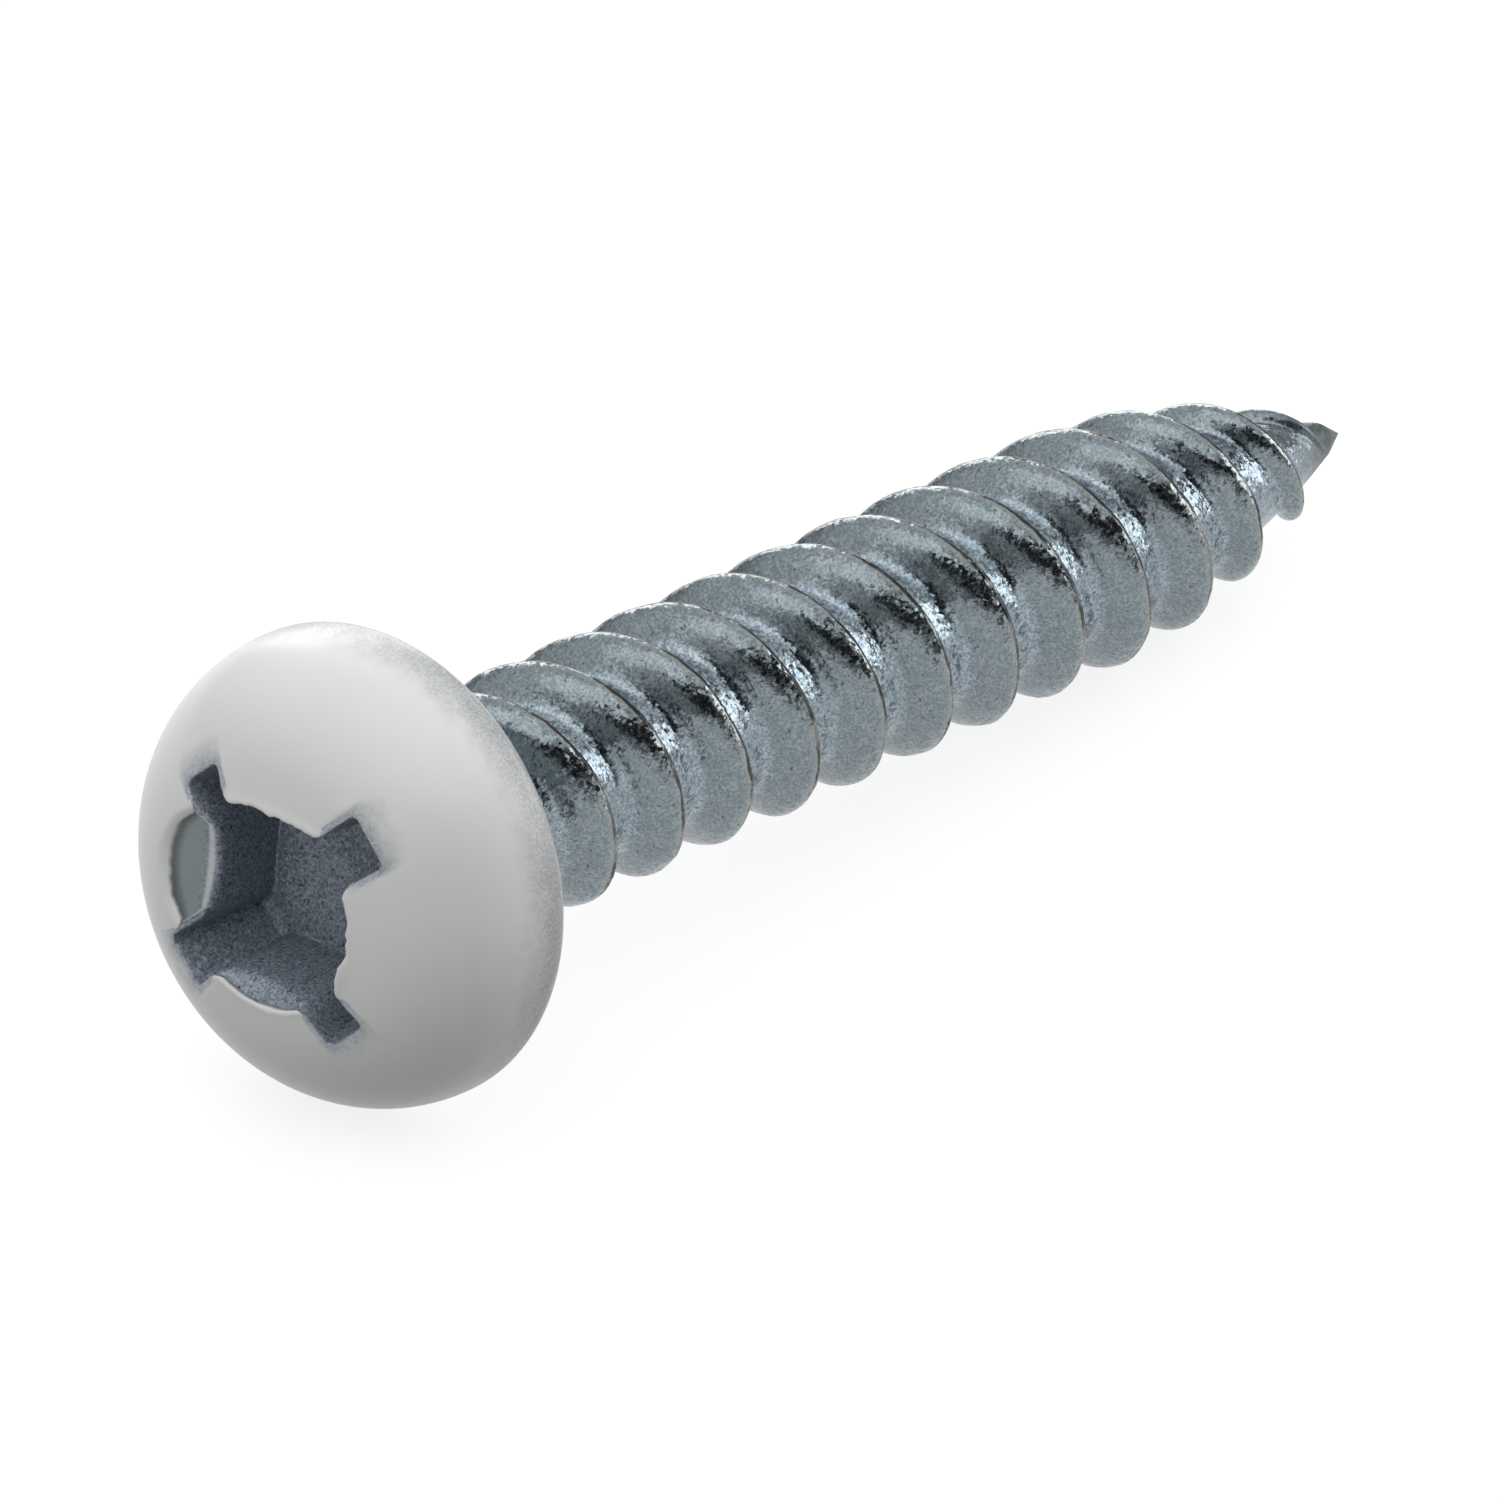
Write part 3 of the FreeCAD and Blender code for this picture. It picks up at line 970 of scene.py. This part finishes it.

# %% [markdown]
# Two dies meet on the crest of a rolled thread. They fold the steel over there, and the fold
# stays as a thin groove that wanders a little. A groove in the mesh would need far more points,
# so its shade is painted as a thin dark line by distance from the crest, with a painted warm
# highlight beside it.

# %% The rolled seam on the crests: a painted shade and a painted highlight
SEAM_WANDER = 0.09
SEAM_WANDER_SIZE = 0.30
SEAM_BREAK_SIZE = 0.8
to_crest = add_node(tree, "Attribute", out="Fac", attribute_name="off_crest")
wander = add_node(tree, "TexNoise", {"Vector": mm, "Scale": 1 / SEAM_WANDER_SIZE})
wander = add_node(tree, "Math", {0: wander, 1: 0.5}, operation="SUBTRACT")
from_crest = add_node(tree, "Math", {0: wander, 1: SEAM_WANDER, 2: to_crest}, **TIMES_PLUS)
# Painted highlight: a warm light edge beside the fold on the crest
painted_warm_highlight = add_node(tree, "MapRange", {0: from_crest, 1: 0.20, 2: 0.06, 4: 0.30}, **SOFT)
plate = add_node(tree, "Mix", {0: painted_warm_highlight, 6: plate, 7: colour("#A5A298")}, **TONES)
# Painted shade: the fold's groove drawn as a dark line along the crest
painted_seam_shade = add_node(tree, "MapRange", {0: from_crest, 1: 0.075, 2: 0.030}, **SOFT)
broken = add_node(tree, "TexNoise", {"Vector": mm, "Scale": 1 / SEAM_BREAK_SIZE})
broken = add_node(tree, "MapRange", {0: broken, 1: 0.36, 2: 0.52, 3: 0.35, 4: 0.95}, **SOFT)
painted_seam_shade = add_node(tree, "Math", {0: painted_seam_shade, 1: broken}, **TIMES)
plate = add_node(tree, "Mix", {0: painted_seam_shade, 6: plate, 7: colour("#232425")}, **TONES)
print("seam on the crests:", len(tree.nodes), "nodes")

# %% The plate's shine
# In metres, because that is what a Bump node's Distance counts in
GRIT_STEP = 0.00002
tilt = add_node(tree, "MapRange", {0: to_crest, 1: 0.40, 2: 0.15, 3: 0.22, 4: 0.38}, **SOFT)
tilt = add_node(tree, "Math", {0: flank, 1: -0.10, 2: tilt}, **TIMES_PLUS)
facets = crystals(tree, mm, CRYSTAL_ON_THREAD, tilt)
rough = add_node(tree, "Math", {0: tip, 1: 0.25, 2: 0.13}, **TIMES_PLUS)
rough = add_node(tree, "Math", {0: grain, 1: 0.15, 2: rough}, **TIMES_PLUS)
grit = {"Strength": 0.2, "Distance": GRIT_STEP, "Height": grain, "Normal": facets}
grit = add_node(tree, "Bump", grit)
metal = {"Metallic": 1.0, "Base Color": plate, "Roughness": rough, "Normal": grit}
add_node(tree, "OutputMaterial", {"Surface": add_node(tree, "BsdfPrincipled", metal)})
print("zinc plate:", len(tree.nodes), "nodes")

# %% [markdown]
# ## White enamel on the head
# The white is a sprayed and baked enamel, about 0.05 mm thick. It is glossy with a faint orange
# peel, stops inside the mouth, thins out over the ends of the wings, and fades at the rim,
# where the zinc starts to show as a grey haze. Paint and bare metal could be two materials
# on separate faces, but then their border would follow the faces. One material mixes them, by
# how far a point is past the mouth's edge or the rim's edge, with noise to make it ragged.

# %% Where the paint ends
DRIFT_SIZE = 0.31
# Sprayed enamel: a pale, even coat with a soft gloss that ends in metal
enamel, tree = blank_material("white_sprayed_enamel_over_zinc")
mm = millimetres(tree)
wing_end = add_node(tree, "Attribute", out="Fac", attribute_name="at_wing_end")
inside = add_node(tree, "Attribute", out="Fac", attribute_name="past_mouth")
drift = add_node(tree, "TexNoise", {"Vector": mm, "Scale": 1 / DRIFT_SIZE, "Detail": 3.0})
drift = add_node(tree, "Math", {0: drift, 1: 0.5}, operation="SUBTRACT")
ragged = add_node(tree, "Math", {0: wing_end, 1: 0.26, 2: 0.05}, **TIMES_PLUS)
reach = add_node(tree, "Math", {0: drift, 1: ragged, 2: inside}, **TIMES_PLUS)
reach = add_node(tree, "Math", {0: wing_end, 1: 0.24, 2: reach}, **TIMES_PLUS)
crisp = add_node(tree, "MapRange", {0: reach, 1: 0.05, 2: 0.09}, **SOFT)
hazy = add_node(tree, "MapRange", {0: reach, 1: -0.20, 2: 0.42}, **SOFT)
bare = add_node(tree, "Mix", {0: wing_end, 2: crisp, 3: hazy})
beyond = add_node(tree, "Attribute", out="Fac", attribute_name="past_rim")
under = add_node(tree, "Math", {0: drift, 1: 0.5, 2: beyond}, **TIMES_PLUS)
worn = add_node(tree, "MapRange", {0: under, 1: 0.15, 2: 0.65}, **SOFT)
bare = add_node(tree, "Math", {0: bare, 1: worn}, **LARGER)
print("border of the paint:", len(tree.nodes), "nodes")

# %% [markdown]
# The bare zinc in the recess is slate grey and speckled, with dark spots where the bath left
# dirt. The flare is smoother and greener. A painted highlight draws a thin streak of light along
# its crease, and a painted shadow darkens it along the paint's edge. All of it is far too fine to
# be modelled, so noises draw the specks, and the mesh's own numbers say where the flare is.

# %% Tones in the recess
SPECK_SIZE = 0.045
SPOT_SIZE = 0.10
speck = add_node(tree, "TexNoise", {"Vector": mm, "Scale": 1 / SPECK_SIZE})
fine = add_node(tree, "MapRange", {0: speck, 1: 0.32, 2: 0.66}, **SOFT)
slate = add_node(tree, "Mix", {0: fine, 6: colour("#6C7581"), 7: colour("#A2AAB5")}, **TONES)
spots = add_node(tree, "TexNoise", {"Vector": mm, "Scale": 1 / SPOT_SIZE})
spots = add_node(tree, "MapRange", {0: spots, 1: 0.37, 2: 0.31, 4: 0.7}, **SOFT)
slate = add_node(tree, "Mix", {0: spots, 6: slate, 7: colour("#2F353F")}, **TONES)
flare = add_node(tree, "Attribute", out="Fac", attribute_name="on_lead_in")
on_flare = add_node(tree, "MapRange", {0: flare, 1: 0.15, 2: 0.5}, **SOFT)
slate = add_node(tree, "Mix", {0: on_flare, 6: slate, 7: colour("#8D9797")}, **TONES)
# Painted highlight: a thin light streak along the flare's crease
above = add_node(tree, "MapRange", {0: flare, 1: 0.08, 2: 0.18}, **SOFT)
below = add_node(tree, "MapRange", {0: flare, 1: 0.32, 2: 0.22}, **SOFT)
painted_crease_highlight = add_node(tree, "Math", {0: above, 1: below}, **TIMES)
slate = add_node(tree, "Mix", {0: painted_crease_highlight, 6: slate, 7: colour("#CCD0D3")}, **TONES)
# Painted shadow: a dark line on the flare along the paint's edge
edge = add_node(tree, "MapRange", {0: reach, 1: 0.17, 2: 0.09, 4: 0.8}, **SOFT)
painted_edge_shadow = add_node(tree, "Math", {0: edge, 1: flare}, **TIMES)
slate = add_node(tree, "Mix", {0: painted_edge_shadow, 6: slate, 7: colour("#3F4648")}, **TONES)
print("recess tones:", len(tree.nodes), "nodes")

# %% The white, its haze at the rim, and the zinc beneath
thin = add_node(tree, "MapRange", {0: under, 1: -0.9, 2: 0.3}, **SOFT)
haze = add_node(tree, "Math", {0: thin, 1: 0.75}, **TIMES)
white = add_node(tree, "Mix", {0: haze, 6: colour("#EAEAE7"), 7: colour("#A2A3A6")}, **TONES)
specks = add_node(tree, "MapRange", {0: speck, 1: 0.40, 2: 0.60, 4: 0.5}, **SOFT)
specks = add_node(tree, "Math", {0: thin, 1: specks}, **TIMES)
white = add_node(tree, "Mix", {0: specks, 6: white, 7: colour("#7C7F84")}, **TONES)
skin = add_node(tree, "Mix", {0: bare, 6: white, 7: slate}, **TONES)
beneath = add_node(tree, "MapRange", {0: under, 1: 0.25, 2: 0.75}, **SOFT)
fine = add_node(tree, "MapRange", {0: speck, 1: 0.35, 2: 0.65}, **SOFT)
zinc_tone = add_node(tree, "Mix", {0: fine, 6: colour("#838C90"), 7: colour("#A3ABAF")}, **TONES)
skin = add_node(tree, "Mix", {0: beneath, 6: skin, 7: zinc_tone}, **TONES)
print("enamel tones:", len(tree.nodes), "nodes")

# %% The enamel's shine
PEEL_SIZE = 0.4
# The paint's own thickness at its border, in metres
PAINT_STEP = 0.00004
tilt = add_node(tree, "Math", {0: flare, 1: -0.30, 2: 0.36}, **TIMES_PLUS)
facets = crystals(tree, mm, CRYSTAL_IN_RECESS, tilt)
smooth = add_node(tree, "NewGeometry", out="Normal")
lean = add_node(tree, "Mix", {0: bare, 4: smooth, 5: facets}, out=1, data_type="VECTOR")
peel = add_node(tree, "TexNoise", {"Vector": mm, "Scale": 1 / PEEL_SIZE, "Detail": 1.0})
film = add_node(tree, "Math", {0: 1.0, 1: bare}, operation="SUBTRACT")
film = add_node(tree, "Math", {0: peel, 1: 0.15, 2: film}, **TIMES_PLUS)
relief = {"Strength": 0.8, "Distance": PAINT_STEP, "Height": film, "Normal": lean}
relief = add_node(tree, "Bump", relief)
rough = add_node(tree, "Math", {0: bare, 1: 0.15, 2: 0.30}, **TIMES_PLUS)
metal = add_node(tree, "Math", {0: bare, 1: 0.3}, **TIMES)
metal = add_node(tree, "Math", {0: beneath, 1: metal}, **LARGER)
coat = {"Base Color": skin, "Roughness": rough, "Metallic": metal, "Normal": relief}
add_node(tree, "OutputMaterial", {"Surface": add_node(tree, "BsdfPrincipled", coat)})
print("enamel:", len(tree.nodes), "nodes")

# %% Give each face its finish
THREAD_BELOW = -0.30
screw_mesh.materials.append(enamel)
screw_mesh.materials.append(zinc)
stand_up = LAID_DOWN.inverted()
for polygon in screw_mesh.polygons:
    polygon.material_index = 1 if (stand_up @ polygon.center).z < THREAD_BELOW else 0
print("finishes on", len(screw_mesh.polygons), "faces")

# %% [markdown]
# ## Floor, lights and camera
# The screw lies on a plain white table. A white sheet would do, but it would throw so much
# light up that the bottom of the head would lose its shade. So the paper is grey, and a glow
# that only the camera, mirrors and glass would see makes up the rest to white.

# %% Floor
FLOOR_HALF_WIDTH = 1.5
FLOOR_GLOW = 0.84
floor_mesh = bmesh.new()
bmesh.ops.create_grid(floor_mesh, x_segments=1, y_segments=1, size=FLOOR_HALF_WIDTH)
floor_data = bpy.data.meshes.new("floor")
floor_mesh.to_mesh(floor_data)
floor_mesh.free()
floor = bpy.data.objects.new("floor", floor_data)
bpy.context.collection.objects.link(floor)
# Matt paper: no shine, so that the shadow on it stays soft
paper, tree = blank_material("matt_white_paper")
sheet = add_node(tree, "BsdfPrincipled", {"Base Color": colour("#7C7C7C"), "Roughness": 0.9})
seen = add_node(tree, "LightPath", out="Is Camera Ray")
mirrored = add_node(tree, "LightPath", out="Is Glossy Ray")
through = add_node(tree, "LightPath", out="Is Transmission Ray")
looked_at = add_node(tree, "Math", {0: seen, 1: mirrored}, **LARGER)
looked_at = add_node(tree, "Math", {0: looked_at, 1: through}, **LARGER)
glow = add_node(tree, "Math", {0: looked_at, 1: FLOOR_GLOW}, **TIMES)
shine = add_node(tree, "Emission", {"Color": colour("#FFFFFF"), "Strength": glow})
add_node(tree, "OutputMaterial", {"Surface": add_node(tree, "AddShader", {0: sheet, 1: shine})})
floor_data.materials.append(paper)
print("floor laid")

# %% [markdown]
# Metal shows its room, so each light is a part of the look. One broad lamp overhead shades the
# white head from above. Two low lamps stand beyond the tip: the valleys of the thread mirror
# one as a bright band, and the crests sparkle with the other. A point light would give hard
# dots instead, so all three are wide.

# %% Lamps
# Each lamp's place, its width and height in metres, and its power in watts
LAMPS = {
    "overhead": ((-0.15, -0.10, 0.45), (0.45, 0.45), 0.44),
    "low_right": ((0.332, -0.233, 0.109), (0.28, 0.20), 0.55),
    "low_behind": ((0.280, 0.270, 0.130), (0.26, 0.22), 0.50),
}
for name, (place, (lamp_width, lamp_height), power) in LAMPS.items():
    lamp = bpy.data.lights.new(name, "AREA")
    lamp.shape = "RECTANGLE"
    lamp.size = lamp_width
    lamp.size_y = lamp_height
    lamp.energy = power
    holder = bpy.data.objects.new(name, lamp)
    holder.location = place
    holder.rotation_euler = Vector(place).to_track_quat("Z", "Y").to_euler()
    bpy.context.collection.objects.link(holder)
print(len(LAMPS), "lamps")

# %% [markdown]
# The room is a tent of white cloth that glows most overhead. It is open on the camera's side,
# from a little above the table to halfway up, and the thread's ridges mirror that dark opening
# as the near black patches beside their seams. A picture of a real room would do the same
# with less control.

# %% The light tent
OPENING_TOWARD = (-0.118, -0.835, 0.537)
world = bpy.data.worlds.new("light_tent")
bpy.context.scene.world = world
world.use_nodes = True
tree = world.node_tree
tree.nodes.clear()
toward = add_node(tree, "TexCoord", out="Generated")
upward = add_node(tree, "SeparateXYZ", {0: toward}, out="Z")
high_up = add_node(tree, "MapRange", {0: upward, 1: 0.1, 2: 0.75}, **SOFT)
cloth = add_node(tree, "Mix", {0: high_up, 6: colour("#9A9C9E"), 7: colour("#FCFEFF")}, **TONES)
facing = add_node(
    tree, "VectorMath", {0: toward, 1: OPENING_TOWARD}, out=1, operation="DOT_PRODUCT"
)
opening = add_node(tree, "MapRange", {0: facing, 1: 0.70, 2: 0.79}, **SOFT)
sill = add_node(tree, "MapRange", {0: upward, 1: 0.17, 2: 0.28}, **SOFT)
opening = add_node(tree, "Math", {0: opening, 1: sill}, **TIMES)
lintel = add_node(tree, "MapRange", {0: upward, 1: 0.74, 2: 0.60}, **SOFT)
opening = add_node(tree, "Math", {0: opening, 1: lintel}, **TIMES)
room = add_node(tree, "Mix", {0: opening, 6: cloth, 7: colour("#0C0D0F")}, **TONES)
air = add_node(tree, "Background", {"Color": room, "Strength": 1.0})
add_node(tree, "OutputWorld", {"Surface": air})
bpy.context.scene.view_settings.view_transform = "Standard"
print("tent with an opening toward", OPENING_TOWARD)

# %% [markdown]
# The camera looks down along the screw from beyond its head. The direction is all that is
# given: the middle of the screw's outline in that view gives the aim, and its width gives the
# lens, so that the screw fills the same share of the frame whatever its size.

# %% Camera
VIEW_FROM = Vector((-0.672, -0.557, 0.488)).normalized()
DISTANCE = 0.45
SHARE_OF_FRAME = 0.80
camera_data = bpy.data.cameras.new("camera")
camera = bpy.data.objects.new("camera", camera_data)
bpy.context.collection.objects.link(camera)
bpy.context.scene.camera = camera
camera.rotation_mode = "QUATERNION"
camera.rotation_quaternion = VIEW_FROM.to_track_quat("Z", "Y")
right = camera.rotation_quaternion @ Vector((1, 0, 0))
up = camera.rotation_quaternion @ Vector((0, 1, 0))
across = [v.co.dot(right) for v in screw_mesh.vertices]
along = [v.co.dot(up) for v in screw_mesh.vertices]
middle = right * (min(across) + max(across)) / 2 + up * (min(along) + max(along)) / 2
width = max(across) - min(across)
camera.location = middle + VIEW_FROM * DISTANCE
camera_data.lens = camera_data.sensor_width * DISTANCE / (width / SHARE_OF_FRAME)
camera_data.clip_start = 0.01
camera_data.clip_end = 10.0
print("lens", round(camera_data.lens), "mm for a screw", round(1000 * width, 1), "mm wide in view")
